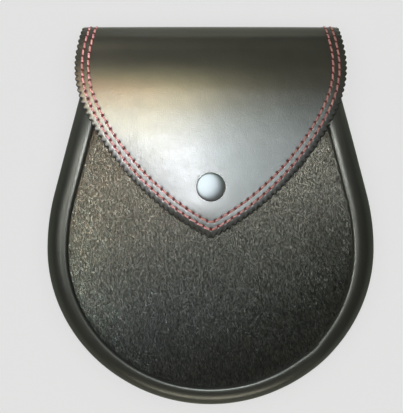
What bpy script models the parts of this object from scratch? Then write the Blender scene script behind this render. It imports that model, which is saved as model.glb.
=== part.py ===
"""Sporran pouch: a leather pouch worn at the front of a kilt, lying on its back.

Metres, +Z up. The front faces up, the fold of the flap is towards +Y, and the origin is on the
ground under the middle of the pouch. The body is a back panel, a gusset whose front edge rolls over
into a raised rim, and a domed front panel of short-haired hide. The flap is one sheet of leather,
cut flat with a pinked edge and folded over the top. A press stud holds it shut, and two loops
on the back take the waist strap.
"""

import math

import bmesh
import bpy
import numpy as np

# ---------------------------------------------------------------- driving dimensions, in metres
PLAY = 0.0003  # left between two pieces that touch
SEAT_PLAY = 0.0004  # the same where a flat plate lies on the curved flap

# Outline of the body from the front, along the widest line of its side wall: half an ellipse
# below, then two arcs that turn inwards, then straight sides that go on closing to the top.
BODY_HALF_WIDTH = 0.0847
WIDEST_Y = -0.0169
ROUND_DEPTH = 0.0802  # from the widest place down to the bottom
SIDE_RADIUS = 0.1170
SIDE_LEAN = math.radians(14.6)

# The seam behind, where the side wall turns out and is sewn to the back panel.
SEAM_MARGIN = 0.0010  # how far the seam's edge stands out from the widest line
SEAM_MARGIN_BOTTOM = 0.0013  # added to it at the bottom, where it shows from the front

# Back panel: flat on the ground at the bottom, and raised over the belt loops above.
BACK_THICKNESS = 0.0024
BACK_TOP_Y = 0.0830
BACK_LIFT = 0.0062
BACK_RISE_START_Y = -0.0620
BACK_RISE_LENGTH = 0.0660

# Gusset: the side wall. Its crest is the top of the rolled rim, and it tapers under the flap.
GUSSET_THICKNESS = 0.0018
GUSSET_TOP_Y = 0.0820
CREST_Z = 0.0302
CREST_FALL = 0.0072
CREST_FALL_START_Y = 0.0350
CREST_FALL_LENGTH = 0.0550
RIM_NARROWING = 0.15  # share of the insets below that is lost at the bottom
GUSSET_PROFILE = (
    # place, inset from the widest line, share of the wall's height, drop from there
    ("seam", 0.0012, 0.00, 0.0),
    ("heel", 0.0036, 0.01, 0.0),
    ("turn", 0.0032, 0.07, 0.0),
    ("low wall", 0.0010, 0.20, 0.0),
    ("widest line", 0.0000, 0.37, 0.0),
    ("upper wall", 0.0006, 0.57, 0.0),
    ("shoulder", 0.0024, 0.77, 0.0),
    ("slope", 0.0049, 0.92, 0.0),
    ("near the crest", 0.0071, 0.985, 0.0),
    ("crest", 0.0092, 1.00, 0.0),
    ("roll", 0.0107, 1.00, 0.0007),
    ("inner slope", 0.0118, 1.00, 0.0023),
    ("lip", 0.0121, 1.00, 0.0044),
    ("lip end", 0.0121, 1.00, 0.0085),
)

# Front panel: domed hide, sunk a little inside the rim, with its edge turned in along the lip.
HIDE_THICKNESS = 0.0022
HIDE_SINK = 0.0034  # from the rim's crest down to the hide's edge
HIDE_DOME = 0.0036
DOME_POWER = 2.4
HIDE_TURN_RADIUS = 0.0026
HIDE_SKIRT = 0.0051  # from the hide's edge down to the end of the turned-in part
HIDE_SPINE_Y = -0.0420  # lower end of the middle line that the dome's rows run to
HIDE_ROWS = (1.0, 0.84, 0.60, 0.32, 0.0)  # shares of the way from the middle line to the edge
MOUTH_Y = 0.0700

# Flap: the fold seen from the side, its outer face, from the tip on the front to the tail behind.
FLAP_THICKNESS = 0.0022
FLAP_SIDE_VIEW = (
    # place, y, z, how far the side edges sink below the middle line
    ("tip", -0.0105, 0.0341, 0.0000),
    ("below the stud", 0.0020, 0.0357, 0.0012),
    ("stud", 0.0155, 0.0363, 0.0022),
    ("middle", 0.0300, 0.0366, 0.0028),
    ("swell", 0.0450, 0.0361, 0.0029),
    ("start of the fold", 0.0600, 0.0345, 0.0029),
    ("upper front", 0.0750, 0.0315, 0.0026),
    ("top front", 0.0870, 0.0272, 0.0018),
    ("top edge", 0.0955, 0.0222, 0.0008),
    ("fold", 0.0994, 0.0160, 0.0002),
    ("top back", 0.0972, 0.0093, 0.0000),
    ("back", 0.0910, 0.0050, 0.0000),
    ("tail", 0.0830, 0.0037, 0.0000),
    ("tail middle", 0.0740, 0.0037, 0.0000),
    ("tail end", 0.0640, 0.0037, 0.0000),
)
# The flap cut flat: from the tip each side is three arcs that turn upwards, then a straight line.
TIP_ANGLE = math.radians(27.0)  # between the edge and a level line
SHOULDER_ANGLE = math.radians(64.0)
TAIL_ANGLE = math.radians(99.0)
TIP_RADIUS = 0.0025
FLAP_SIDE_RADIUS = 0.1400
FLAP_SHOULDER_RADIUS = 0.0620
TAIL_CORNER_RADIUS = 0.0070
PINKING_PITCH = 0.0032
PINKING_DEPTH = 0.0007
POINTS_PER_SCALLOP = 4

# Belt loops: one strip each, sewn to the back at both ends. The strap runs through along X.
LOOP_THICKNESS = 0.0018
LOOP_WIDTH = 0.0220
LOOP_CENTRE_X = 0.0340
LOOP_TOP_Y = 0.0625
LOOP_BOTTOM_Y = 0.0020
LOOP_TAB = 0.0090  # each end that lies flat on the back panel
LOOP_RAMP = 0.0080
LOOP_RAMP_STEPS = 5

# Press stud: turned pieces, given as radius and height above the flap's outer face.
STUD_Y = 0.0155
CAP_RADIUS = 0.0073
CAP_EDGE_HEIGHT = 0.0009
CAP_DOME_HEIGHT = 0.0023
CAP_POST_RADIUS = 0.0016
SOCKET_RADIUS = 0.0052
SOCKET_CAVITY_RADIUS = 0.0034
SOCKET_PLATE = 0.0008
STUD_FLANGE_RADIUS = 0.0046
STUD_FLANGE_THICKNESS = 0.0006
STUD_HEAD_RADIUS = 0.0029
STUD_NECK_RADIUS = 0.0022
STUD_POST_RADIUS = 0.0015
WASHER_RADIUS = 0.0048
WASHER_THICKNESS = 0.0006
POST_CLEARANCE = 0.0003
TURNING_STEPS = 24

# Fineness of the faceted surfaces.
OUTLINE_SAMPLES = 240
GUSSET_SECTIONS = 32  # on each side of the bottom centre
PANEL_ROWS = 26
PANEL_COLUMNS = 8
FLAP_ROW_PITCH = 0.0058
FLAP_COLUMN_PITCH = 0.0180
MERGE = 1e-6


# ---------------------------------------------------------------- shared shapes
def smooth_step(t):
    """0 up to t = 0, 1 from t = 1, and a smooth S between."""
    t = np.clip(t, 0.0, 1.0)
    return t * t * (3.0 - 2.0 * t)


def back_z(y):
    """Height of the back panel's outer face."""
    return BACK_LIFT * smooth_step((y - BACK_RISE_START_Y) / BACK_RISE_LENGTH)


def crest_z(y):
    """Height of the rim's crest."""
    return CREST_Z - CREST_FALL * smooth_step((y - CREST_FALL_START_Y) / CREST_FALL_LENGTH)


def resample(points, count):
    """The same polyline with evenly spaced points."""
    steps = np.linalg.norm(np.diff(points, axis=0), axis=1)
    length = np.concatenate(([0.0], np.cumsum(steps)))
    even = np.linspace(0.0, length[-1], count)
    return np.column_stack([np.interp(even, length, column) for column in points.T])


def smooth_curve(knots, count):
    """A curve through the knots: cubic spans over chord length, with slopes from the neighbours."""
    knots = np.asarray(knots, float)
    chord = np.linalg.norm(np.diff(knots, axis=0), axis=1)
    at = np.concatenate(([0.0], np.cumsum(chord)))
    slope = np.gradient(knots, at, axis=0)
    u = np.linspace(0.0, at[-1], count)
    i = np.clip(np.searchsorted(at, u, side="right") - 1, 0, len(at) - 2)
    span = (at[i + 1] - at[i])[:, None]
    f = (u - at[i])[:, None] / span
    return (
        knots[i] * (1 + 2 * f) * (1 - f) ** 2
        + slope[i] * span * f * (1 - f) ** 2
        + knots[i + 1] * f * f * (3 - 2 * f)
        - slope[i + 1] * span * f * f * (1 - f)
    )


def half_outline(top_y, count):
    """Right half of the body's outline, bottom centre to top_y, with its inward normals."""
    quarter = np.linspace(math.pi / 2, 0.0, OUTLINE_SAMPLES)
    bottom = np.column_stack((BODY_HALF_WIDTH * np.cos(quarter), -ROUND_DEPTH * np.sin(quarter)))
    bottom[0, 0] = 0.0
    turn = np.linspace(0.0, SIDE_LEAN, OUTLINE_SAMPLES // 4)[1:]
    side = SIDE_RADIUS * np.column_stack((np.cos(turn) - 1.0, np.sin(turn)))
    side[:, 0] += BODY_HALF_WIDTH
    rise = top_y - WIDEST_Y - side[-1, 1]
    end = side[-1] + rise * np.array((-math.tan(SIDE_LEAN), 1.0))
    points = resample(np.vstack((bottom, side, end)) + (0.0, WIDEST_Y), count)
    tangent = np.gradient(points, axis=0)
    tangent[0] = (1.0, 0.0)
    tangent /= np.linalg.norm(tangent, axis=1)[:, None]
    return points, np.column_stack((-tangent[:, 1], tangent[:, 0]))


def seam_edge(points, normals):
    """The body's outline moved out to the edge of the seam behind."""
    margin = SEAM_MARGIN + SEAM_MARGIN_BOTTOM * np.maximum(normals[:, 1:], 0.0) ** 2
    return points - normals * margin


def narrowing(normals):
    """What the insets are multiplied by along the outline: the rim is narrowest at the bottom."""
    return 1.0 - RIM_NARROWING * np.maximum(normals[:, 1:], 0.0) ** 2


def both_sides(right):
    """Sections from the left top round the bottom to the right top, given the right half's."""
    return np.concatenate((right[:0:-1] * (-1.0, 1.0, 1.0), right))


def hide_z(share, y):
    """Height of the hide's outer face, given how far out it is between middle line and edge."""
    return crest_z(y) - HIDE_SINK + HIDE_DOME * (1.0 - share**DOME_POWER)


# ---------------------------------------------------------------- making objects
def clear_scene():
    for obj in list(bpy.data.objects):
        bpy.data.objects.remove(obj)
    for collection in list(bpy.data.collections):
        bpy.data.collections.remove(collection)


def new_collection(name):
    collection = bpy.data.collections.new(name)
    bpy.context.scene.collection.children.link(collection)
    return collection


def new_material(name, colour, roughness, metallic):
    material = bpy.data.materials.new(name)
    material.use_nodes = True
    shader = material.node_tree.nodes["Principled BSDF"]
    shader.inputs["Base Color"].default_value = (*colour, 1.0)
    shader.inputs["Roughness"].default_value = roughness
    shader.inputs["Metallic"].default_value = metallic
    return material


def add_object(name, mesh, collection, material):
    mesh.materials.append(material)
    obj = bpy.data.objects.new(name, mesh)
    collection.objects.link(obj)
    return obj


def loft(name, sections, flip=False):
    """A mesh over a grid of points, a row for each section. Points that coincide are merged."""
    rows, columns = sections.shape[:2]
    index = np.arange(rows * columns).reshape(rows, columns)
    corners = [index[:-1, :-1], index[:-1, 1:], index[1:, 1:], index[1:, :-1]]
    if flip:
        corners.reverse()
    faces = np.stack([corner.ravel() for corner in corners], axis=1)
    mesh = bpy.data.meshes.new(name)
    mesh.from_pydata(sections.reshape(-1, 3).tolist(), [], faces.tolist())
    work = bmesh.new()
    work.from_mesh(mesh)
    bmesh.ops.remove_doubles(work, verts=work.verts, dist=MERGE)
    bmesh.ops.dissolve_degenerate(work, edges=work.edges, dist=MERGE)
    work.to_mesh(mesh)
    work.free()
    return mesh


def thicken(obj, thickness):
    """Gives an open surface its wall, on the side its normals point away from."""
    wall = obj.modifiers.new("Wall", "SOLIDIFY")
    wall.thickness = thickness
    wall.offset = -1.0
    wall.use_even_offset = True
    wall.use_quality_normals = True


def smooth_shade(obj, angle_degrees):
    obj.data.shade_smooth()
    obj.data.set_sharp_from_angle(angle=math.radians(angle_degrees))


def turned(name, profile, collection, material, centre):
    """A solid of revolution from (radius, height) pairs that run down its outer side."""
    mesh = bpy.data.meshes.new(name)
    edges = [(i, i + 1) for i in range(len(profile) - 1)]
    mesh.from_pydata([(radius, 0.0, height) for radius, height in profile], edges, [])
    obj = add_object(name, mesh, collection, material)
    obj.location = centre
    screw = obj.modifiers.new("Turning", "SCREW")
    screw.steps = screw.render_steps = TURNING_STEPS
    screw.use_merge_vertices = True
    screw.merge_threshold = 1e-5
    return obj


def drill(obj, radius, centre, length, cutters):
    """Cuts a round hole along Z through obj."""
    work = bmesh.new()
    bmesh.ops.create_cone(
        work, cap_ends=True, segments=TURNING_STEPS, radius1=radius, radius2=radius, depth=length
    )
    mesh = bpy.data.meshes.new(f"{obj.name}_hole")
    work.to_mesh(mesh)
    work.free()
    cutter = bpy.data.objects.new(f"{obj.name}_hole", mesh)
    cutter.location = centre
    cutter.hide_render = True
    cutter.display_type = "WIRE"
    cutters.objects.link(cutter)
    cut = obj.modifiers.new("Hole", "BOOLEAN")
    cut.operation = "DIFFERENCE"
    cut.object = cutter


# ---------------------------------------------------------------- the pieces
def build_back_panel(collection, material):
    """The flat sheet behind, bent to rise over the belt loops."""
    edge = seam_edge(*half_outline(BACK_TOP_Y, PANEL_ROWS))
    across = np.linspace(1.0, -1.0, PANEL_COLUMNS + 1)
    x = edge[:, :1] * across
    y = np.repeat(edge[:, 1:], len(across), axis=1)
    sheet = loft("back_panel", np.stack((x, y, back_z(y)), axis=-1))
    obj = add_object("back_panel", sheet, collection, material)
    thicken(obj, BACK_THICKNESS)
    smooth_shade(obj, 40)
    return obj


def build_gusset(collection, material):
    """The side wall and rim: one section after another, round the bottom, from seam to lip."""
    points, normals = half_outline(GUSSET_TOP_Y, GUSSET_SECTIONS)
    seam = seam_edge(points, normals)
    inset, share, drop = np.array([row[1:] for row in GUSSET_PROFILE]).T
    inset = narrowing(normals) * inset
    x = points[:, :1] + normals[:, :1] * inset
    y = points[:, 1:] + normals[:, 1:] * inset
    wall_y = np.repeat(points[:, 1:], len(share), axis=1)
    x = np.hstack((seam[:, :1], x))
    y = np.hstack((seam[:, 1:], y))
    wall_y = np.hstack((points[:, 1:], wall_y))
    share = np.concatenate(([0.0], share))
    drop = np.concatenate(([0.0], drop))
    foot = back_z(y) + BACK_THICKNESS + PLAY + GUSSET_THICKNESS
    z = foot + share * (crest_z(wall_y) - foot) - drop
    x[0] = 0.0
    sections = both_sides(np.stack((x, y, z), axis=-1))
    obj = add_object("gusset", loft("gusset", sections, flip=True), collection, material)
    thicken(obj, GUSSET_THICKNESS)
    smooth_shade(obj, 50)
    return obj


def build_front_panel(collection, cutters, material):
    """The domed hide, from its turned-in edge along the lip to its middle line."""
    points, normals = half_outline(MOUTH_Y, PANEL_ROWS)
    edge_inset = narrowing(normals) * GUSSET_PROFILE[-1][1] + PLAY
    turn = np.radians((0.0, 30.0, 60.0))
    inset = edge_inset + np.append(0.0, HIDE_TURN_RADIUS * (1.0 - np.cos(turn)))
    drop = np.append(HIDE_SKIRT, HIDE_TURN_RADIUS * (1.0 - np.sin(turn)))
    edge_x = points[:, :1] + normals[:, :1] * inset
    edge_y = points[:, 1:] + normals[:, 1:] * inset
    edge_z = hide_z(1.0, edge_y) - drop
    share = np.array(HIDE_ROWS)
    start = points + normals * (edge_inset + HIDE_TURN_RADIUS)
    spine_y = np.maximum(start[:, 1:], HIDE_SPINE_Y)
    dome_x = start[:, :1] * share
    dome_y = spine_y + (start[:, 1:] - spine_y) * share
    dome_z = hide_z(share, dome_y)
    x, y, z = (
        np.hstack(pair) for pair in ((edge_x, dome_x), (edge_y, dome_y), (edge_z, dome_z))
    )
    x[0] = 0.0
    sections = both_sides(np.stack((x, y, z), axis=-1))
    sheet = loft("front_panel", sections, flip=True)
    obj = add_object("front_panel", sheet, collection, material)
    thicken(obj, HIDE_THICKNESS)
    hole = STUD_POST_RADIUS + POST_CLEARANCE
    drill(obj, hole, (0.0, STUD_Y, hide_z(0.0, STUD_Y)), 4 * HIDE_THICKNESS, cutters)
    smooth_shade(obj, 50)
    return obj


def arc(start, radius, heading, end_heading):
    """Points along an arc that turns left, after its start."""
    angle = np.linspace(heading, end_heading, OUTLINE_SAMPLES // 4)[1:]
    turn = (np.sin(angle) - math.sin(heading), math.cos(heading) - np.cos(angle))
    return start + radius * np.column_stack(turn)


def flap_edge(length):
    """Right half of the flat flap's edge, from the tip to the middle of the tail's end."""
    tip = arc(np.zeros(2), TIP_RADIUS, 0.0, TIP_ANGLE)[-1]
    side = arc(tip, FLAP_SIDE_RADIUS, TIP_ANGLE, SHOULDER_ANGLE)
    shoulder = arc(side[-1], FLAP_SHOULDER_RADIUS, SHOULDER_ANGLE, TAIL_ANGLE)
    rise = length - TAIL_CORNER_RADIUS - shoulder[-1, 1]
    tail = shoulder[-1] + rise * np.array((1.0 / math.tan(TAIL_ANGLE), 1.0))
    corner = arc(tail, TAIL_CORNER_RADIUS, TAIL_ANGLE, math.pi)
    return np.vstack(((0.0, 0.0), tip, side, shoulder, tail, corner, (0.0, corner[-1, 1])))


def pinked_outline(edge):
    """The flat flap's whole outline, cut into scallops that swell outwards between notches."""
    around = np.linalg.norm(np.diff(edge, axis=0), axis=1).sum()
    scallops = round(around / PINKING_PITCH)
    even = resample(edge, scallops * POINTS_PER_SCALLOP + 1)
    tangent = np.gradient(even, axis=0)
    tangent /= np.linalg.norm(tangent, axis=1)[:, None]
    outward = np.column_stack((tangent[:, 1], -tangent[:, 0]))
    phase = np.arange(len(even)) * math.pi / POINTS_PER_SCALLOP
    right = even - outward * (PINKING_DEPTH * (1.0 - np.abs(np.sin(phase))))[:, None]
    right[(0, -1), 0] = 0.0
    return np.vstack((right, right[-2:0:-1] * (-1.0, 1.0)))


def fold_line():
    """The flap's middle line: distance along it, places in YZ, outward normals, and the sink."""
    line = smooth_curve([row[1:] for row in FLAP_SIDE_VIEW], 4 * OUTLINE_SAMPLES)
    sink = line[:, 2]
    line = line[:, :2]
    step = np.linalg.norm(np.diff(line, axis=0), axis=1)
    along = np.concatenate(([0.0], np.cumsum(step)))
    tangent = np.gradient(line, along, axis=0)
    tangent /= np.linalg.norm(tangent, axis=1)[:, None]
    return along, line, np.column_stack((-tangent[:, 1], tangent[:, 0])), sink


def fold(flat, edge):
    """Carries points of the flat flap to the folded one, whose side edges sink a little."""
    along, line, normals, sink = fold_line()
    x, s = flat.T
    half_width = np.interp(s, edge[:, 1], edge[:, 0])
    share = np.clip(np.abs(x) / np.maximum(half_width, PINKING_DEPTH), 0.0, 1.0)
    down = np.interp(s, along, sink) * share**2
    y, z = (np.interp(s, along, column) for column in line.T)
    normal_y, normal_z = (np.interp(s, along, column) for column in normals.T)
    return np.column_stack((x, y - down * normal_y, z - down * normal_z))


def build_flap(collection, cutters, material):
    """Cut flat, scored where it bends, then folded over the top of the pouch."""
    edge = flap_edge(fold_line()[0][-1])
    outline = pinked_outline(edge)
    work = bmesh.new()
    work.faces.new([work.verts.new((x, y, 0.0)) for x, y in outline])
    low, high = outline.min(axis=0), outline.max(axis=0)
    cuts = [((0, y, 0), (0, 1, 0)) for y in np.arange(low[1] + FLAP_ROW_PITCH, high[1], FLAP_ROW_PITCH)]
    columns = np.arange(0.0, high[0], FLAP_COLUMN_PITCH)
    cuts += [((x, 0, 0), (1, 0, 0)) for x in (*-columns[:0:-1], *columns)]
    for point, direction in cuts:
        bmesh.ops.bisect_plane(
            work,
            geom=[*work.verts, *work.edges, *work.faces],
            plane_co=point,
            plane_no=direction,
            dist=MERGE,
        )
    bmesh.ops.triangulate(work, faces=work.faces)
    bent = fold(np.array([v.co[:2] for v in work.verts]), edge)
    for vert, place in zip(work.verts, bent):
        vert.co = place
    mesh = bpy.data.meshes.new("flap")
    work.to_mesh(mesh)
    work.free()
    obj = add_object("flap", mesh, collection, material)
    thicken(obj, FLAP_THICKNESS)
    hole = CAP_POST_RADIUS + POST_CLEARANCE
    drill(obj, hole, (0.0, STUD_Y, flap_z_at_stud()), 4 * FLAP_THICKNESS, cutters)
    smooth_shade(obj, 40)
    return obj


def flap_z_at_stud():
    """Height of the flap's outer face at the press stud."""
    line = fold_line()[1]
    front = line[: len(line) // 2]
    return float(np.interp(STUD_Y, front[:, 0], front[:, 1]))


def build_belt_loop(name, centre_x, collection, material):
    """A strip that lies flat on the back panel at both ends and stands off it between."""
    tab_z = BACK_LIFT - PLAY - LOOP_THICKNESS
    t = np.linspace(0.0, 1.0, LOOP_RAMP_STEPS + 1)
    ramp_y = LOOP_TAB + LOOP_RAMP * t
    ramp_z = tab_z * (1.0 - smooth_step(t))
    upper = np.column_stack((LOOP_TOP_Y - ramp_y, ramp_z))
    lower = np.column_stack((LOOP_BOTTOM_Y + ramp_y, ramp_z))[::-1]
    side_view = np.vstack(((LOOP_TOP_Y, tab_z), upper, lower, (LOOP_BOTTOM_Y, tab_z)))
    x = np.array((-LOOP_WIDTH / 2, LOOP_WIDTH / 2))
    sections = np.stack(
        [np.column_stack((np.full(len(side_view), value), side_view)) for value in x], axis=1
    )
    obj = add_object(name, loft(name, sections), collection, material)
    obj.location.x = centre_x
    thicken(obj, LOOP_THICKNESS)
    smooth_shade(obj, 40)
    return obj


def build_press_stud(collection, material):
    """The cap on the flap with its post, the socket under the flap, and the stud on the hide."""
    outer = flap_z_at_stud()
    inner = outer - FLAP_THICKNESS
    hide = hide_z(0.0, STUD_Y)
    centre = (0.0, STUD_Y, 0.0)

    edge = outer + SEAT_PLAY + CAP_EDGE_HEIGHT
    rise = np.linspace(0.0, math.pi / 2, 7)
    dome = [(CAP_RADIUS * math.sin(a), edge + CAP_DOME_HEIGHT * math.cos(a)) for a in rise]
    socket_top = inner - SEAT_PLAY
    post_end = socket_top - SOCKET_PLATE + PLAY
    cap = [
        *dome,
        (CAP_RADIUS - 0.0003, outer + SEAT_PLAY),
        (CAP_POST_RADIUS, outer + SEAT_PLAY),
        (CAP_POST_RADIUS, post_end),
        (0.0, post_end),
    ]
    turned("snap_cap", cap, collection, material, centre)

    flange_bottom = hide + PLAY
    flange_top = flange_bottom + STUD_FLANGE_THICKNESS
    ceiling = socket_top - SOCKET_PLATE
    socket_bottom = flange_top + PLAY
    bore = CAP_POST_RADIUS + POST_CLEARANCE
    socket = [
        (bore, socket_top),
        (SOCKET_RADIUS - 0.0006, socket_top),
        (SOCKET_RADIUS, socket_top - 0.0006),
        (SOCKET_RADIUS, socket_bottom + 0.0004),
        (SOCKET_RADIUS - 0.0004, socket_bottom),
        (SOCKET_CAVITY_RADIUS, socket_bottom),
        (SOCKET_CAVITY_RADIUS, ceiling),
        (bore, ceiling),
        (bore, socket_top),
    ]
    turned("snap_socket", socket, collection, material, centre)

    head_top = ceiling - PLAY
    head_low = flange_top + 0.4 * (head_top - flange_top)
    washer_top = hide - HIDE_THICKNESS - PLAY
    stud = [
        (0.0, head_top),
        (STUD_HEAD_RADIUS - 0.0008, head_top),
        (STUD_HEAD_RADIUS, head_top - 0.0005),
        (STUD_HEAD_RADIUS, head_low + 0.0002),
        (STUD_NECK_RADIUS, head_low - 0.0002),
        (STUD_NECK_RADIUS, flange_top),
        (STUD_FLANGE_RADIUS, flange_top),
        (STUD_FLANGE_RADIUS, flange_bottom),
        (STUD_POST_RADIUS, flange_bottom),
        (STUD_POST_RADIUS, washer_top),
        (WASHER_RADIUS, washer_top),
        (WASHER_RADIUS, washer_top - WASHER_THICKNESS),
        (0.0, washer_top - WASHER_THICKNESS),
    ]
    turned("snap_stud", stud, collection, material, centre)


def main():
    clear_scene()
    pouch = new_collection("Sporran pouch")
    cutters = new_collection("Cutters")
    black_leather = new_material("Black leather", (0.022, 0.022, 0.020), 0.38, 0.0)
    back_leather = new_material("Back leather", (0.030, 0.029, 0.027), 0.55, 0.0)
    black_hide = new_material("Short-haired hide", (0.035, 0.032, 0.030), 0.60, 0.0)
    nickel = new_material("Brushed nickel", (0.62, 0.64, 0.65), 0.32, 1.0)

    build_back_panel(pouch, back_leather)
    build_gusset(pouch, black_leather)
    build_front_panel(pouch, cutters, black_hide)
    build_flap(pouch, cutters, black_leather)
    build_belt_loop("belt_loop_left", -LOOP_CENTRE_X, pouch, back_leather)
    build_belt_loop("belt_loop_right", LOOP_CENTRE_X, pouch, back_leather)
    build_press_stud(pouch, nickel)


main()
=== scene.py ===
"""Sporran pouch: its visible surfaces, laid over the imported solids.

Metres, +Z up. The pouch lies on its back: the front faces up and the fold of the flap is towards +Y.
The leather and the cap are made again as fine surfaces in the same places as the solids, with the
stitches, the relief beside them and the hair of the front panel. The press fastener's socket and
stud stay the solids that they are.
"""

import math

import bpy
import numpy as np
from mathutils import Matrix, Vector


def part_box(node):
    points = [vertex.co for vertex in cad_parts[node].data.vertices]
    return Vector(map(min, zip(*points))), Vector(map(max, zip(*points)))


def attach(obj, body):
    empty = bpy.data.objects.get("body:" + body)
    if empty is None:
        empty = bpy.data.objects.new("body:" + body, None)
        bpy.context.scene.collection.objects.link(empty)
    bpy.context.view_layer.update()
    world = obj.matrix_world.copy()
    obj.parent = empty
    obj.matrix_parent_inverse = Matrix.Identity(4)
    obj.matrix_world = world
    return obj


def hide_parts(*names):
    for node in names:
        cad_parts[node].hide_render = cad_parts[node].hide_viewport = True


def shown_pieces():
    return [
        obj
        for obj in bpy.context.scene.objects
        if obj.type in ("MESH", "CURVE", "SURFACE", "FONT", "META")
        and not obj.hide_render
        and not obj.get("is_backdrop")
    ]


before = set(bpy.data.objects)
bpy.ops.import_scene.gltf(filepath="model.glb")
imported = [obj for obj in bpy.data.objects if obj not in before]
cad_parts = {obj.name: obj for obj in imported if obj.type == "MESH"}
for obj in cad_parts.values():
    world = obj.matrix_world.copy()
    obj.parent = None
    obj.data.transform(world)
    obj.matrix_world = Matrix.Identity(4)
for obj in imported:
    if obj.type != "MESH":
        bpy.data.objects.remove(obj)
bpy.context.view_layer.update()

# ---------------------------------------------------------------- dimensions, in metres
# The body's outline: half an ellipse below, two arcs and straight sides that lean inwards.
BODY_HALF_WIDTH = 0.0847
WIDEST_Y = -0.0169
ROUND_DEPTH = 0.0802
SIDE_RADIUS = 0.1170
SIDE_LEAN = math.radians(14.6)
SEAM_MARGIN = 0.0010
SEAM_MARGIN_BOTTOM = 0.0013
RIM_NARROWING = 0.15

BACK_THICKNESS = 0.0024
BACK_TOP_Y = 0.0830
BACK_SEAM_INSET = 0.0034
BACK_SEAM_PITCH = 0.0034
BACK_LIFT = 0.0062
BACK_RISE_START_Y = -0.0620
BACK_RISE_LENGTH = 0.0660
BACK_ROUNDING = 0.0005
BACK_GROOVE_DEPTH = 0.00060
BACK_GROOVE_WIDTH = 0.00060
BACK_SEAM_DEPTH = 0.00050
BACK_THREAD = (0.00034, 0.00022)  # half its width and half its height
BACK_RING_INSETS = 0.001 * np.array(
    (0.8, 1.3, 1.9, 2.4, 2.8, 3.1, 3.4, 3.7, 4.0, 4.4, 4.9, 5.6, 7.0, 9.0, 12.0)
)
BACK_INNER_INSETS = (0.0010, 0.0040)
BACK_SPINE_MARGINS = (0.050, 0.040)

GUSSET_THICKNESS = 0.0018
GUSSET_TOP_Y = 0.0820
CREST_Z = 0.0302
CREST_FALL = 0.0072
CREST_FALL_START_Y = 0.0350
CREST_FALL_LENGTH = 0.0550
PLAY = 0.0003
GUSSET_PROFILE = (
    # inset from the widest line, share of the wall's height, drop from there
    (0.0012, 0.00, 0.0),
    (0.0036, 0.01, 0.0),
    (0.0032, 0.07, 0.0),
    (0.0010, 0.20, 0.0),
    (0.0000, 0.37, 0.0),
    (0.0006, 0.57, 0.0),
    (0.0024, 0.77, 0.0),
    (0.0049, 0.92, 0.0),
    (0.0072, 0.976, 0.0),
    (0.0088, 0.996, 0.0),
    (0.0098, 1.00, 0.0),
    (0.0108, 1.00, 0.0001),
    (0.0115, 1.00, 0.0005),
    (0.0119, 1.00, 0.0014),
    (0.0121, 1.00, 0.0030),
    (0.0121, 1.00, 0.0085),
)
PROFILE_HEIGHT = 0.02  # the wall's height while the profile is smoothed
LIP_INSET = 0.0121
# One spot on the right where the lip is pushed outwards.
DENT = (0.0534, -0.0680)
DENT_DEPTH = 0.0007
DENT_REACH = 0.0060

LOOP_THICKNESS = 0.0018
LOOP_WIDTH = 0.0220
LOOP_CENTRE_X = 0.0340
LOOP_TOP_Y = 0.0625
LOOP_BOTTOM_Y = 0.0020
LOOP_TAB = 0.0090
LOOP_RAMP = 0.0080
LOOP_ROUNDING = 0.0005
LOOP_END_SHARES = np.array((0.0, 0.6, 0.88, 1.0))
LOOP_TAB_Z = BACK_LIFT - PLAY - LOOP_THICKNESS
LOOP_BOX = (0.0086, 0.0029)  # half the width and half the height of a box of stitches
LOOP_BOX_FROM_END = 0.0047
LOOP_BOX_STITCHES = 16
LOOP_THREAD = (0.00034, 0.00024)

HIDE_THICKNESS = 0.0022
HIDE_SINK = 0.0034
HIDE_DOME = 0.0036
DOME_POWER = 2.4
HIDE_TURN_RADIUS = 0.0012
HIDE_SKIRT = 0.0051
HIDE_SPINE_Y = -0.0420
HIDE_WIDTH_SCALE = 0.060  # metres that one more share counts as, past the dome's edge
MOUTH_Y = 0.0700

FLAP_THICKNESS = 0.0022
FLAP_ARRIS = 0.00045
FLAP_SIDE_VIEW = (
    # y, z, how far the side edges sink below the middle line
    (-0.0105, 0.0341, 0.0000),
    (0.0020, 0.0357, 0.0012),
    (0.0155, 0.0363, 0.0022),
    (0.0300, 0.0366, 0.0028),
    (0.0450, 0.0364, 0.0029),
    (0.0570, 0.0356, 0.0029),
    (0.0665, 0.0343, 0.0028),
    (0.0760, 0.0317, 0.0025),
    (0.0855, 0.0276, 0.0019),
    (0.0945, 0.0226, 0.0008),
    (0.0994, 0.0160, 0.0002),
    (0.0972, 0.0093, 0.0000),
    (0.0910, 0.0050, 0.0000),
    (0.0830, 0.0037, 0.0000),
    (0.0740, 0.0037, 0.0000),
    (0.0640, 0.0037, 0.0000),
)
TIP_ANGLE = math.radians(27.0)
SHOULDER_ANGLE = math.radians(64.0)
TAIL_ANGLE = math.radians(99.0)
TIP_RADIUS = 0.0025
FLAP_SIDE_RADIUS = 0.1400
SHOULDER_RADIUS = 0.0620
TAIL_CORNER_RADIUS = 0.0070
TIP_GROWTH = 0.30
CORNER_SHRINKING = 0.7
SMALLEST_CORNER = 0.0010
SINK_SOFTENING = 0.010  # keeps the sink gentle where the flap is narrow
FOLD_POINTS = 1200
PINKING_PITCH = 0.0032
PINKING_DEPTH = 0.0009
PINKING_FADE = 0.0014
FLAP_RING_INSETS = 0.001 * np.array(
    (0.5, 0.8, 1.2, 1.7, 2.2, 2.7, 3.1, 3.4, 3.65, 3.85, 4.0, 4.15, 4.35, 4.6, 4.95, 5.35, 5.75)
    + (6.15, 6.5, 6.8, 7.03, 7.2, 7.37, 7.6, 7.9, 8.4, 9.1, 10.0)
)
FLAP_INNER_INSETS = (0.0008, 0.0030, 0.0070)
FLAP_SPINE_MARGINS = (0.030, 0.030)
FACE_DEPTH = 0.6 * FLAP_THICKNESS  # where the face's relief has faded out on the cut edge
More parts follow.
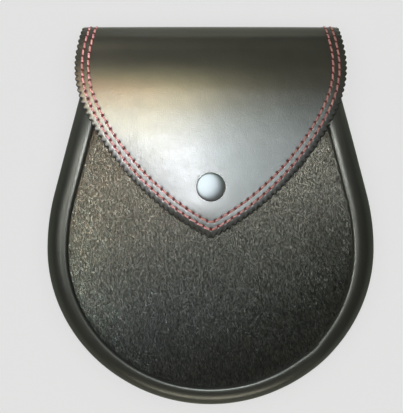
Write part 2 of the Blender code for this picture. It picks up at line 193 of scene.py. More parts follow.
FAR_IN = 0.02  # the inset that counts for all that lies inside the innermost ring
# Relief of the flap's face: depths, and the widths of the bells that shape them.
EDGE_ROLL_DEPTH = 0.00010
EDGE_ROLL_WIDTH = 0.0026
NOTCH_DEPTH = 0.00035
NOTCH_WIDTH = 0.0006
NOTCH_REACH = 0.0013
HOLE_DEPTH = 0.00070
HOLE_WIDTH = 0.00045
CAP_RING_DEPTH = 0.00008
CAP_RING_WIDTH = 0.0009
# The border that rolls down beyond the outer row, most of all at the tip and on the right.
BORDER_WIDTH = 0.0034
BORDER_DROP = 0.00050
BORDER_STARTS_X = -0.050
BORDER_FULL_X = 0.005
# How far the dull cut edge's near black reaches in: at a notch, less per share of the pitch, and at least.
# The wider reach at a notch is painted shade.
CUT_AND_SHADE_AT_NOTCH = 0.0016
CUT_FALL = 0.0060
CUT_AT_TOOTH = 0.00045
# Distances at which a hole's painted shade and a groove's colour start to fade, and end.
HOLE_SHADE_FADE = (0.00042, 0.00072)
GROOVE_FADE = (0.00045, 0.00085)

# The two rows of stitches round the flap.
ROW_INSETS = (0.0040, 0.0072)
STITCH_PITCH = 0.00405
STITCH_SLANT = 0.00020  # each end stands this far to one side of the row
STITCH_GAP = 0.055  # the share of the pitch left open at each end
BACK_GAP = 0.05
STITCH_WANDER = 0.00004
STITCH_PLUMPNESS = 0.04
FLAP_THREAD = (0.00054, 0.00028)
# A stitch's sections: share along it, how high its middle stands and how thick it is. Each has six
# corners, and a count of plies that grows round it and along it.
BAR_ALONG = np.array((0.0, 0.045, 0.095, 0.19, 0.5, 0.81, 0.905, 0.955, 1.0))
BAR_RISE = 0.001 * np.array((-0.62, -0.40, -0.08, 0.12, 0.20, 0.12, -0.08, -0.40, -0.62))[:, None]
BAR_THICKNESS = np.array((0.55, 0.70, 0.88, 1.0, 1.0, 1.0, 0.88, 0.70, 0.55))[:, None]
BAR_TURN = np.arange(6) / 6
PLIES = 3.0
PLIES_PASSED = 4.5  # from one end to the other, so a ply winds one and a half times round
BAR_PLY = PLIES * BAR_TURN + PLIES_PASSED * BAR_ALONG[:, None]

# The hair lies in small locks, which share their tone, partly painted glints, and the way they lie.
LOCK_WIDTH = 0.00036
LOCK_LENGTH = 0.00060
LOCKS = 4096
HAIR_FIELD_HALF = 0.078
HAIR_BOTTOM_Y = -0.0875
HAIR_FIELD_SHARE = 1.03
HAIR_UNDER_FLAP = 0.004  # further in, only one strand in ten is kept
HAIR_LENGTHS = (0.0013, 0.0021)
HAIR_HALF_WIDTHS = (0.00006, 0.00009)
HAIR_TURNS = (0.16, 0.12)  # spread in radians, by lock and by strand
HAIR_ROLLS = (0.16, 0.15)
HAIR_LIFTS = (0.00025, 0.00045, 0.0002)  # the least, and how much more by lock and by strand
HAIR_TILTS = (2.5, 2.8, 1.5)  # in degrees: the mean, and its spread by lock and by strand
HAIR_ROOT_DEPTH = 0.00015
HAIR_LAST_SHARE = 1.04
# lighter towards the tip; the light tips partly stand in for glints, as painted highlights
HAIR_TONE_AND_GLINT_ALONG = np.array((0.10, 0.10, 0.75, 0.75, 1.0))  # root pair, middle pair and tip

STUD_Y = 0.0155
CAP_RADIUS = 0.0073
CAP_DOME_HEIGHT = 0.0023
CAP_POST_RADIUS = 0.0016
# how far in and how far down the rolled edge goes
CAP_ROLLED_EDGE = ((0.00003, 0.0005), (0.00015, 0.0008), (0.0004, 0.0009))

MERGE = 1e-7
rng = np.random.default_rng(1745)


# ---------------------------------------------------------------- curves and surfaces
def smooth_step(t):
    """0 up to t = 0, 1 from t = 1, and 3t^2 - 2t^3 between."""
    t = np.clip(t, 0.0, 1.0)
    return t * t * (3.0 - 2.0 * t)


def bell(x, width):
    """A smooth bump, e to the minus (x over width) squared."""
    return np.exp(-((x / width) ** 2))


def back_z(y):
    """Height of the back panel's outer face."""
    return BACK_LIFT * smooth_step((y - BACK_RISE_START_Y) / BACK_RISE_LENGTH)


def crest_z(y):
    """Height of the rim's crest."""
    return CREST_Z - CREST_FALL * smooth_step((y - CREST_FALL_START_Y) / CREST_FALL_LENGTH)


def hide_z(share, y):
    """Height of the hide, given how far out it is between its middle line and its edge."""
    return crest_z(y) - HIDE_SINK + HIDE_DOME * (1.0 - share**DOME_POWER)


def distance_along(points):
    """Length of the polyline up to each of its points."""
    steps = np.linalg.norm(np.diff(points, axis=0), axis=1)
    return np.concatenate(([0.0], np.cumsum(steps)))


def interpolate(at, along, rows):
    """The rows at the places at, linear between those given, which lie along."""
    return np.stack([np.interp(at, along, column) for column in rows.T], axis=-1)


def resample(points, count):
    """The same polyline with evenly spaced points."""
    length = distance_along(points)
    return interpolate(np.linspace(0.0, length[-1], count), length, points)


def unit_tangents(points, *along):
    """Unit vectors along a polyline, one for each of its points."""
    tangent = np.gradient(points, *along, axis=0)
    return tangent / np.linalg.norm(tangent, axis=1)[:, None]


def turned_left(vectors):
    """Vectors in a plane after a quarter turn to the left."""
    return np.column_stack((-vectors[:, 1], vectors[:, 0]))


def beside(points, normals, offset):
    """Both coordinates of places beside a plane polyline: its points plus normals times offset."""
    return points.T[:, :, None] + normals.T[:, :, None] * offset


def from_whole(values):
    """How far each value is from the nearest whole number."""
    return np.abs(values - np.round(values))


def smooth_curve(knots, count):
    """A curve through the knots: cubic spans over chord length, with slopes from the neighbours."""
    knots = np.asarray(knots, float)
    at = distance_along(knots)
    slope = np.gradient(knots, at, axis=0)
    u = np.linspace(0.0, at[-1], count)
    i = np.clip(np.searchsorted(at, u, side="right") - 1, 0, len(at) - 2)
    span = (at[i + 1] - at[i])[:, None]
    f = (u - at[i])[:, None] / span
    return (
        knots[i] * (1 + 2 * f) * (1 - f) ** 2
        + slope[i] * span * f * (1 - f) ** 2
        + knots[i + 1] * f * f * (3 - 2 * f)
        - slope[i + 1] * span * f * f * (1 - f)
    )


def body_outline(top_y, count):
    """Right half of the body's outline, bottom centre to top_y, with its inward normals."""
    quarter = np.linspace(math.pi / 2, 0.0, 600)
    bottom = np.column_stack((BODY_HALF_WIDTH * np.cos(quarter), -ROUND_DEPTH * np.sin(quarter)))
    bottom[0, 0] = 0.0
    turn = np.linspace(0.0, SIDE_LEAN, 150)[1:]
    side = SIDE_RADIUS * np.column_stack((np.cos(turn) - 1.0, np.sin(turn)))
    side[:, 0] += BODY_HALF_WIDTH
    rise = top_y - WIDEST_Y - side[-1, 1]
    end = side[-1] + rise * np.array((-math.tan(SIDE_LEAN), 1.0))
    points = resample(np.vstack((bottom, side, end)) + (0.0, WIDEST_Y), count)
    return points, inward_normals(points)


def inward_normals(points):
    """Unit vectors to the left of a polyline that runs from the bottom centre up the right side."""
    tangent = unit_tangents(points)
    tangent[0] = (1.0, 0.0)
    return turned_left(tangent)


def seam_edge(points, normals):
    """The outline moved out to the edge of the seam behind, a little more at the bottom."""
    margin = SEAM_MARGIN + SEAM_MARGIN_BOTTOM * np.maximum(normals[:, 1:], 0.0) ** 2
    return points - normals * margin


def narrowing(normals):
    """What the insets are multiplied by along the outline: the rim is narrowest at the bottom."""
    return 1.0 - RIM_NARROWING * np.maximum(normals[:, 1:], 0.0) ** 2


def dented(places):
    """The places pushed away from the body's middle near the dent, fading out as a bell does."""
    middle = np.array((0.0, WIDEST_Y))
    away = np.array(DENT) - middle
    away /= np.linalg.norm(away)
    push = DENT_DEPTH * bell(np.linalg.norm(places[..., :2] - DENT, axis=-1), DENT_REACH)
    moved = places.copy()
    moved[..., :2] += push[..., None] * away
    return moved


def mirrored(sections):
    """The same sections on the other side of x = 0."""
    mirror = np.ones(sections.shape[-1])
    mirror[0] = -1.0
    return sections * mirror


def both_sides(right):
    """Sections from the left end round the bottom to the right end, given the right half's."""
    return np.concatenate((mirrored(right[:0:-1]), right))


def all_round(right):
    """A closed row of sections: the right half's, then their mirror image back to the start."""
    return np.concatenate((right, mirrored(right[-2::-1])))


def sheet_rows(near, rounding, wall, within, thickness):
    """Inset and depth of a sheet's rings: in from its edge on the face, round the edge, and below.

    The edge's arrises are quarter circles, and wall gives the depths of the rings between them.
    """
    turn = np.radians(np.linspace(0.0, 90.0, 5))
    arris_in = rounding * (1.0 - np.sin(turn))
    arris_down = rounding * (1.0 - np.cos(turn))
    last = np.append(within, near[-1])
    insets = (near[::-1], arris_in, 0.0 * wall, arris_in[::-1], last)
    depths = (0.0 * near, arris_down, wall, thickness - arris_down[::-1], 0.0 * last + thickness)
    return np.concatenate(insets), np.concatenate(depths)


def filled_sheet(rings, insets, depths, steps, margins):
    """A sheet's rings with its two middles: even steps from a spine to the innermost ring.

    The spine is on x = 0, level with the ring's points, and stops the margins short of its ends.
    """
    ring = rings[0]
    spine_y = np.clip(ring[:, 1], ring[0, 1] + margins[0], ring[-1, 1] - margins[1])
    spine = np.column_stack((np.zeros(len(spine_y)), spine_y))
    share = np.linspace(0.0, 1.0, steps)[:-1]
    middle = spine + share[:, None, None] * (ring - spine)
    far_in = np.full(len(share), FAR_IN)
    inset = np.concatenate((far_in, insets, far_in))
    depth = np.concatenate((0.0 * share, depths, 0.0 * share + depths[-1]))
    return np.concatenate((middle, rings, middle[::-1])), inset, depth


def closed_sheet(right):
    """Sections round a whole sheet, given the rows of its right half. They meet on x = 0."""
    sections = np.swapaxes(right, 0, 1)
    sections[(0, -1), :, 0] = 0.0
    return all_round(sections)


# ---------------------------------------------------------------- meshes
def add_piece(name, points, faces, finish, replaced=()):
    """An object from points and lists of faces, which rides on the pouch's one body."""
    mesh = bpy.data.meshes.new(name)
    mesh.from_pydata(points, [], [face for group in faces for face in group.tolist()])
    mesh.materials.append(finish)
    mesh.shade_smooth()
    obj = bpy.data.objects.new(name, mesh)
    bpy.context.scene.collection.objects.link(obj)
    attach(obj, "root")
    if replaced:
        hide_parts(*replaced)
    return obj


def grid_faces(rows, columns, flip):
    """Corner numbers of a grid's quads, a row of points after the other."""
    at = np.arange(rows * columns).reshape(rows, columns)
    corners = [at[:-1, :-1], at[:-1, 1:], at[1:, 1:], at[1:, :-1]]
    if flip:
        corners.reverse()
    return np.stack([corner.ravel() for corner in corners], axis=1)


def welded(grid, flip):
    """Points and faces of a grid whose coinciding points are made one: seams and poles close."""
    rows, columns = grid.shape[:2]
    points = grid.reshape(-1, 3)
    keys = np.round(points / MERGE).astype(np.int64)
    _, kept, vertex = np.unique(keys, axis=0, return_index=True, return_inverse=True)
    faces = vertex.ravel()[grid_faces(rows, columns, flip)]
    double = faces == np.roll(faces, -1, axis=1)
    doubles = double.sum(axis=1)
    triangles = faces[doubles == 1][~double[doubles == 1]].reshape(-1, 3)
    return points[kept], [faces[doubles == 0], triangles], kept


def add_surface(name, grid, finish, replaced=(), flip=False, values=None):
    """A piece from a grid of points. values gives named numbers, one for each of them."""
    points, faces, kept = welded(grid, flip)
    obj = add_piece(name, points, faces, finish, replaced)
    for key, value in (values or {}).items():
        add_values(obj, key, np.broadcast_to(value, grid.shape[:2]).ravel()[kept])
    return obj


def add_values(obj, key, values):
    """Gives each of the mesh's points a number of that name."""
    layer = obj.data.attributes.new(key, "FLOAT", "POINT")
    layer.data.foreach_set("value", values.astype(np.float32))


def add_shell(name, x, y, z, thickness, finish, node):
    """A walled piece in a node's place, from sections of its outer face's right half.

    It has the dent, and its wall is on the side that its normals point away from.
    """
    x[0] = 0.0
    sections = dented(both_sides(np.stack((x, y, z), axis=-1)))
    obj = add_surface(name, sections, finish, (node,), flip=True)
    wall = obj.modifiers.new("Wall", "SOLIDIFY")
    wall.thickness = thickness
    wall.offset = -1.0
    wall.use_even_offset = True
    wall.use_quality_normals = True


# ---------------------------------------------------------------- finishes
def math_operator(operation, reflected=False):
    """An operator of Socket: it takes its two sides to a Math node, turned round if reflected."""

    def operator(own, other):
        sides = (other, own) if reflected else (own, other)
        return own.nodes.math(operation, *sides)

    return operator


class Socket:
    """A node's output. Each operator adds the Math node that works it out."""

    def __init__(self, nodes, socket):
        self.nodes = nodes
        self.socket = socket

    __add__ = __radd__ = math_operator("ADD")
    __sub__ = math_operator("SUBTRACT")
    __rsub__ = math_operator("SUBTRACT", reflected=True)
    __mul__ = __rmul__ = math_operator("MULTIPLY")
    __truediv__ = math_operator("DIVIDE")
    __pow__ = math_operator("POWER")


class Nodes:
    """A node tree and the one place where its nodes are made."""

    def __init__(self, tree):
        self.tree = tree

    def add(self, kind, settings=None, inputs=None, output=0):
        """A node of that type. Settings come first, then the values or links of its sockets."""
        node = self.tree.nodes.new(kind)
        for key, value in (settings or {}).items():
            setattr(node, key, value)
        for key, value in (inputs or {}).items():
            if isinstance(value, Socket):
                self.link(value, node, key)
            elif value is not None:
                node.inputs[key].default_value = value
        return Socket(self, node.outputs[output])

    def link(self, value, node, key):
        """Leads a value to that socket of a node."""
        self.tree.links.new(value.socket, node.inputs[key])

    def math(self, operation, first, second=0.0):
        """A Math node's result."""
        return self.add("ShaderNodeMath", {"operation": operation}, {0: first, 1: second})

    def from_whole(self, value):
        """How far a number is from the nearest whole one."""
        return self.math("ABSOLUTE", value - self.math("ROUND", value))

    def between(self, value, low, high):
        """0 at low, 1 at high, smooth between and level beyond."""
        settings = {"interpolation_type": "SMOOTHSTEP"}
        inputs = {"Value": value, "From Min": low, "From Max": high}
        return self.add("ShaderNodeMapRange", settings, inputs)

    def blend(self, factor, first, second):
        """The first colour where factor is 0 and the second where it is 1."""
        first, second = (
            colour if isinstance(colour, Socket) else (*colour, 1.0) for colour in (first, second)
        )
        inputs = {0: factor, 6: first, 7: second}
        return self.add("ShaderNodeMix", {"data_type": "RGBA"}, inputs, 2)


class Finish(Nodes):
    """A material's nodes round one Principled shader."""

    def __init__(self, name, colour, roughness, specular=0.5, metallic=0.0):
        self.material = bpy.data.materials.new(name)
        self.material.use_nodes = True
        self.material.diffuse_color = (*colour, 1.0)
        super().__init__(self.material.node_tree)
        self.shader = self.tree.nodes["Principled BSDF"]
        self.shader.inputs["Base Color"].default_value = (*colour, 1.0)
        self.shader.inputs["Roughness"].default_value = roughness
        self.shader.inputs["Specular IOR Level"].default_value = specular
        self.shader.inputs["Metallic"].default_value = metallic

    def drive(self, key, value):
        """Leads a value to the shader."""
        self.link(value, self.shader, key)

    def place(self):
        """Object coordinates, in metres."""
        return self.add("ShaderNodeTexCoord", output="Object")

    def value(self, key):
        """The number that a piece's points carry under that name."""
        return self.add("ShaderNodeAttribute", {"attribute_name": key}, output="Fac")

    def noise(self, place, size, detail=2.0, roughness=0.5, stretch=(1.0, 1.0, 1.0)):
        """Soft noise from 0 to 1 whose lumps are about size metres across."""
        scaled = self.add("ShaderNodeMapping", inputs={"Vector": place, "Scale": stretch})
        inputs = {"Vector": scaled, "Scale": 1.0 / size, "Detail": detail, "Roughness": roughness}
        return self.add("ShaderNodeTexNoise", inputs=inputs)

    def cells(self, place, size):
        """Distance from the middle of the nearest of many cells about size metres across."""
        inputs = {"Vector": place, "Scale": 1.0 / size}
        return self.add("ShaderNodeTexVoronoi", {"feature": "F1"}, inputs)

    def bump(self, height, distance, below=None):
        """A normal from a height from 0 to 1, distance metres deep, over another normal."""
        inputs = {"Height": height, "Distance": distance, "Normal": below}
        return self.add("ShaderNodeBump", inputs=inputs)

    def plies(self):
        """A wave from -1 to 1 across the plies that wind round a thread."""
        return self.math("SINE", self.value("Ply") * (2.0 * math.pi))


BLACK = (0.017, 0.017, 0.016)  # the leather's mean colour
SHEEN = 0.62  # its specular level


def leather_colour(finish, place):
    """Two blacks, blended by soft noise as the polish wears."""
    wear = finish.noise(place, 0.018, 4.0, 0.6)
    return finish.blend(wear, (0.011, 0.011, 0.0105), (0.024, 0.023, 0.021))


def leather_relief(finish, place, depth):
    """Broad soft unevenness over fine grain.

    The grain is rounded pebbles, one minus the squared distance from a cell's middle, and noise.
    """
    size = 0.0007
    pebbles = 1.0 - finish.cells(place, size) ** 2.0
    grain = finish.bump(pebbles * 0.7 + finish.noise(place, size * 0.4, 3.0) * 0.5, depth)
    return finish.bump(finish.noise(place, 0.011, 3.0), 0.00010, grain)


def black_leather(name, roughness, grain_depth):
    """Polished black leather: fine grain, and a gloss that varies a little with soft noise."""
    finish = Finish(name, BLACK, roughness, SHEEN)
    place = finish.place()
    finish.drive("Base Color", leather_colour(finish, place))
    finish.drive("Roughness", finish.noise(place, 0.006, 4.0, 0.65) * 0.16 + (roughness - 0.08))
    finish.drive("Normal", leather_relief(finish, place, grain_depth))
    return finish.material


def flap_leather():
    """The flap's leather, with painted shade at the holes, dark red as the thread in them, and a dull cut
    edge.

    A hole is what lies near both a row and a whole number of stitches, and a groove lies along the
    whole row. The cut edge reaches further in at a notch than at a tooth, as painted shade in the
    notch. The normal adds the roll of the border, which grows with the inset up to its width and
    from left to right.
    """
    roughness = 0.31
    lowest_roughness = 0.28
    finish = Finish("flap_leather", BLACK, roughness, SHEEN)
    place = finish.place()
    inset = finish.value("Inset")
    hole = groove = 0.0
    for row, key in zip(ROW_INSETS, ("Outer", "Inner")):
        from_row = finish.math("ABSOLUTE", inset - row)
        from_hole = finish.from_whole(finish.value(key)) * STITCH_PITCH
        far = (from_hole**2.0 + from_row**2.0) ** 0.5
        hole = hole + (1.0 - finish.between(far, *HOLE_SHADE_FADE))
        groove = groove + (1.0 - finish.between(from_row, *GROOVE_FADE))
    hole = hole * finish.value("Face")
    groove = groove * finish.value("Face")
    # near black on the cut edge itself, reaching further in at the notches as painted shade
    at_edge = CUT_AND_SHADE_AT_NOTCH - finish.from_whole(finish.value("Pinking")) * CUT_FALL
    reach = finish.math("MAXIMUM", at_edge, CUT_AT_TOOTH)
    cut = 1.0 - finish.between(inset / reach, 0.5, 1.1)
    edge_and_notch_shaded = finish.blend(cut, leather_colour(finish, place), (0.004, 0.004, 0.004))
    stained = finish.blend(groove * 0.7, edge_and_notch_shaded, (0.045, 0.010, 0.011))
    # painted shade: the holes are painted dark red, standing in for the thread inside them in shadow
    finish.drive("Base Color", finish.blend(hole, stained, (0.070, 0.005, 0.010)))
    streaks = finish.noise(place, 0.0016, 2.0, 0.6, (1.0, 0.4, 1.0))
    gloss = finish.noise(place, 0.006, 4.0, 0.65) * 0.12 + streaks * 0.08 + (roughness - 0.10)
    gloss = finish.math("MAXIMUM", gloss, lowest_roughness)
    dull = hole * 0.9 + cut * 0.8 + groove * 0.45
    finish.drive("Roughness", finish.math("MAXIMUM", gloss, dull))
    x = finish.add("ShaderNodeSeparateXYZ", inputs={"Vector": place})
    border = finish.math("MINIMUM", inset * (1.0 / BORDER_WIDTH), 1.0)
    rolled = border * finish.between(x, BORDER_STARTS_X, BORDER_FULL_X)
    finish.drive("Normal", finish.bump(rolled, BORDER_DROP, leather_relief(finish, place, 0.00003)))
    return finish.material


def salmon_thread():
    """Thick salmon thread: plies that wind round it, painted shade in the furrows and deep in the holes.
    """
    finish = Finish("salmon_thread", (0.72, 0.19, 0.15), 0.55)
    wound = finish.plies()
    # painted shade: the furrows between the plies are painted darker
    tone_and_painted_light = finish.between(wound, -1.0, 0.5)
    # painted shade: the ends that dip into the holes are painted dark red
    depth = finish.between(finish.value("Rise"), 0.35, 0.85)
    lit = finish.blend(finish.noise(finish.place(), 0.004), (0.74, 0.41, 0.39), (0.62, 0.28, 0.27))
    fibre = finish.blend(tone_and_painted_light, (0.40, 0.12, 0.13), lit)
    finish.drive("Base Color", finish.blend(depth, (0.17, 0.010, 0.020), fibre))
    finish.drive("Normal", finish.bump(wound, 0.00008))
    return finish.material


def black_thread():
    """Waxed black thread: plies that wind round it."""
    finish = Finish("black_thread", (0.012, 0.012, 0.012), 0.45)
    finish.drive("Normal", finish.bump(finish.plies(), 0.00006))
    return finish.material


def satin_nickel():
    """Satin nickel plate with a fine even haze."""
    finish = Finish("satin_nickel", (0.62, 0.645, 0.66), 0.30, metallic=1.0)
    place = finish.place()
    finish.drive("Roughness", finish.noise(place, 0.0012, 3.0) * 0.10 + 0.36)
    finish.drive("Normal", finish.bump(finish.noise(place, 0.0006, 3.0), 0.00001))
    return finish.material


def black_hair():
    """Short black hair: each strand has its own tone, and its tip is lighter, partly as a painted glint.
    """
    finish = Finish("black_hair", (0.03, 0.027, 0.023), 0.32)
    tone_and_painted_light = finish.value("Tone")
    # the lighter tones are partly painted glints
    finish.drive("Base Color", finish.blend(tone_and_painted_light, (0.003, 0.003, 0.003), (0.150, 0.138, 0.117)))
    return finish.material


def hide_skin():
    """The dark skin under the hair, with flecks along it."""
    finish = Finish("hide_skin", (0.02, 0.019, 0.018), 0.7)
    flecks = finish.noise(finish.place(), 0.0009, 3.0, 0.6, (1.0, 0.35, 1.0))
    finish.drive("Base Color", finish.blend(flecks, (0.006, 0.006, 0.006), (0.045, 0.042, 0.038)))
    finish.drive("Normal", finish.bump(flecks, 0.0003))
    return finish.material


# ---------------------------------------------------------------- gusset
def build_gusset(finish):
    """The side wall and rolled rim: one smooth profile carried round the body's outline."""
    points, normals = body_outline(GUSSET_TOP_Y, 210)
    knots = np.array(GUSSET_PROFILE) * (1.0, PROFILE_HEIGHT, 1.0)
    inset, share, drop = smooth_curve(knots, 60).T
    share = np.append(0.0, np.clip(share / PROFILE_HEIGHT, 0.0, 1.0))
    drop = np.append(0.0, np.maximum(drop, 0.0))
    seam = seam_edge(points, normals).T[:, :, None]
    wall = beside(points, normals, narrowing(normals) * inset)
    x, y = np.concatenate((seam, wall), axis=2)
    foot = back_z(y) + BACK_THICKNESS + PLAY + GUSSET_THICKNESS
    z = foot + share * (crest_z(points[:, 1:]) - foot) - drop
    add_shell("gusset_leather", x, y, z, GUSSET_THICKNESS, finish, "gusset")


# ---------------------------------------------------------------- hide and its hair
def hide_edge(count):
    """Right half: the outline, its normals, the hide's inset from it, and where the dome starts."""
    points, normals = body_outline(MOUTH_Y, count)
    inset = narrowing(normals) * LIP_INSET + PLAY
    return points, normals, inset, points + normals * (inset + HIDE_TURN_RADIUS)


def build_hide(finish):
    """The domed skin, from its turned-in edge along the lip to its middle line."""
    points, normals, edge_inset, start = hide_edge(150)
    turn = np.radians(np.linspace(0.0, 75.0, 8))
    inset = edge_inset + np.append(0.0, HIDE_TURN_RADIUS * (1.0 - np.cos(turn)))
    drop = np.append(HIDE_SKIRT, HIDE_TURN_RADIUS * (1.0 - np.sin(turn)))
    edge_x, edge_y = beside(points, normals, inset)
    share = np.linspace(1.0, 0.0, 22)
    spine_y = np.maximum(start[:, 1:], HIDE_SPINE_Y)
    dome_y = spine_y + (start[:, 1:] - spine_y) * share
    x = np.hstack((edge_x, start[:, :1] * share))
    y = np.hstack((edge_y, dome_y))
    z = np.hstack((hide_z(1.0, edge_y) - drop, hide_z(share, dome_y)))
    add_shell("hide_skin", x, y, z, HIDE_THICKNESS, finish, "front_panel")


def hide_share(x, y):
    """How far out a place is, 0 on the hide's middle line and 1 where the dome ends."""
    *_, start = hide_edge(400)
    width = np.maximum(np.interp(y, start[:, 1], start[:, 0]), MERGE)
    low = start[start[:, 1] < HIDE_SPINE_Y]
    reach = np.linalg.norm(low - (0.0, HIDE_SPINE_Y), axis=1)
    angle = np.arctan2(low[:, 0], HIDE_SPINE_Y - low[:, 1])
    around = np.arctan2(np.abs(x), HIDE_SPINE_Y - y)
    radial = np.hypot(x, y - HIDE_SPINE_Y) / np.interp(around, angle, reach)
    return np.where(y > HIDE_SPINE_Y, np.abs(x) / width, radial)


def hide_surface(x, y):
    """Height of the skin: the dome, and the turned edge outside it, which falls at a slant."""
    share = hide_share(x, y)
    beyond = np.maximum(share - 1.0, 0.0) * HIDE_WIDTH_SCALE
    return hide_z(np.minimum(share, 1.0), y) - 0.4 * beyond


def comb_angle(x, y):
    """Which way the hair lies, from straight down towards +x.

    It fans out to the right by a smooth step, more so lower down, and wanders by two sine waves.
    """
    fan = 0.14 + 0.42 * smooth_step((x - 0.005) / 0.06)
    low = smooth_step((0.03 - y) / 0.09)
    wander = 0.10 * np.sin(x / 0.0071 + y / 0.013) + 0.08 * np.sin(y / 0.0057 - x / 0.017)
    return fan * (0.35 + 0.65 * low) + wander


def build_hair(finish, pieces, strands_each):
    """Strands of a quad and a triangle, from a root pair over a middle pair to a tip.

    A strand runs its length at the comb's angle, plus its lock's turn and its own, and is shortened
    where it would pass the hide's edge. Its root is under the skin. Its middle and tip gather towards
    the lock's middle and stand off the skin by its lift, and the tip also by its tilt.
    """
    wanted = pieces * strands_each
    x = rng.uniform(-HAIR_FIELD_HALF, HAIR_FIELD_HALF, wanted * 3)
    y = rng.uniform(HAIR_BOTTOM_Y, MOUTH_Y, wanted * 3)
    share = hide_share(x, y)
    under_flap = np.interp(np.abs(x), *flap_front_edge()) + HAIR_UNDER_FLAP
    keep = (share < HAIR_FIELD_SHARE) & ((y < under_flap) | (rng.random(len(x)) < 0.10))
    x, y, share = (values[keep][:wanted] for values in (x, y, share))
    order = np.argsort(y)[::-1]
    x, y, share = (values[order] for values in (x, y, share))
    count = len(x)

    column = np.floor((x + rng.normal(0.0, 0.00005, count)) / LOCK_WIDTH).astype(int)
    row_y = y + 0.4 * LOCK_WIDTH * (column % 3) + rng.normal(0.0, 0.00010, count)
    row = np.floor(row_y / LOCK_LENGTH).astype(int)
    lock = (column * 7919 + row * 104729) % LOCKS
    lock_tone_and_glint = rng.random(LOCKS)[lock]
    lock_turn = rng.normal(0.0, HAIR_TURNS[0], LOCKS)[lock]
    lock_lift = rng.random(LOCKS)[lock]

    length = rng.uniform(*HAIR_LENGTHS, count) * (0.85 + 0.30 * smooth_step((0.02 - y) / 0.08))
    angle = comb_angle(x, y) + lock_turn + rng.normal(0.0, HAIR_TURNS[1], count)
    run_x, run_y = np.sin(angle) * length, -np.cos(angle) * length
    gather = 0.5 * ((column + 0.5) * LOCK_WIDTH - x)
    tip_share = hide_share(x + run_x, y + run_y)
    part = (HAIR_LAST_SHARE - share) / np.maximum(tip_share - share, 1e-6)
    room = np.clip(np.where(tip_share > HAIR_LAST_SHARE, part, 1.0), 0.12, 1.0)
    run_x, run_y, length = run_x * room, run_y * room, length * room

    least, by_lock, by_strand = HAIR_LIFTS
    lift = 0.8 * (least + by_lock * lock_lift + rng.uniform(0.0, by_strand, count)) * room
    roll = rng.normal(0.0, HAIR_ROLLS[0], LOCKS)[lock] + rng.normal(0.0, HAIR_ROLLS[1], count)
    half = rng.uniform(*HAIR_HALF_WIDTHS, count)
    turned = (np.cos(angle) * np.cos(roll), np.sin(angle) * np.cos(roll), np.sin(roll))
    side = np.column_stack(turned) * half[:, None]
    mean, by_lock, by_strand = HAIR_TILTS
    lock_tilt = by_lock * rng.normal(0.0, 1.0, LOCKS)[lock]
    tilt = np.radians(mean + lock_tilt + rng.normal(0.0, by_strand, count))
    middle_x, middle_y = x + 0.4 * run_x + 0.6 * gather, y + 0.4 * run_y
    tip_x, tip_y = x + run_x + gather, y + run_y
    rise = lift + 0.6 * length * np.tan(tilt)
    root = np.column_stack((x, y, hide_surface(x, y) - HAIR_ROOT_DEPTH))
    middle = np.column_stack((middle_x, middle_y, hide_surface(middle_x, middle_y) + lift))
    tip = np.column_stack((tip_x, tip_y, hide_surface(tip_x, tip_y) + rise))
    strand = np.stack((root - side, root + side, middle - side, middle + side, tip), axis=1)

    # each strand's tone, by its lock and its own; the light flecks are partly painted glints
    own = np.clip(0.75 * lock_tone_and_glint + 0.25 * rng.random(count), 0.0, 1.0) ** 1.6
    tone_and_painted_light = own[:, None] * HAIR_TONE_AND_GLINT_ALONG
    for number, chosen in enumerate(np.array_split(np.arange(count), pieces)):
        first = len(HAIR_TONE_AND_GLINT_ALONG) * np.arange(len(chosen))[:, None]
        quads = first + np.array((0, 1, 3, 2))
        tips = first + np.array((2, 3, 4))
        points = dented(strand[chosen].reshape(-1, 3))
        obj = add_piece(f"hide_hair_{number + 1}", points, [quads, tips], finish)
        obj.data.shade_flat()
        add_values(obj, "Tone", tone_and_painted_light[chosen].ravel())


# ---------------------------------------------------------------- flap
def turn_points(centre, radius, start, end, count):
    """Points along an arc that turns left, given its headings in radians."""
    heading = np.linspace(start, end, count)
    return centre + radius * np.column_stack((np.sin(heading), -np.cos(heading)))


def left_of(heading):
    """Unit vector to the left of a heading."""
    return np.array((-math.sin(heading), math.cos(heading)))


TIP_END = TIP_RADIUS * np.array((math.sin(TIP_ANGLE), 1.0 - math.cos(TIP_ANGLE)))
SIDE_CENTRE = TIP_END + FLAP_SIDE_RADIUS * left_of(TIP_ANGLE)
SIDE_END = SIDE_CENTRE - FLAP_SIDE_RADIUS * left_of(SHOULDER_ANGLE)
SHOULDER_CENTRE = SIDE_END + SHOULDER_RADIUS * left_of(SHOULDER_ANGLE)
SHOULDER_END = SHOULDER_CENTRE - SHOULDER_RADIUS * left_of(TAIL_ANGLE)
RING_COUNTS = {"tip": 9, "side": 230, "shoulder": 96, "straight": 146, "corner": 26, "end": 60}


def fold_line():
    """The flap's middle line: distance along it, places in YZ, outward normals, and the sink."""
    line = smooth_curve(FLAP_SIDE_VIEW, FOLD_POINTS)
    line, sink = line[:, :2], line[:, 2]
    along = distance_along(line)
    return along, line, turned_left(unit_tangents(line, along)), sink


FOLD_ALONG, FOLD_LINE, FOLD_NORMALS, FOLD_SINK = fold_line()
TAIL_END_Y = FOLD_ALONG[-1] + TAIL_CORNER_RADIUS * math.cos(TAIL_ANGLE)
# where the stud is on the flat flap: the line's first half is the face in front of the fold
FRONT = slice(FOLD_POINTS // 2)
STUD_S = float(np.interp(STUD_Y, FOLD_LINE[FRONT, 0], FOLD_ALONG[FRONT]))


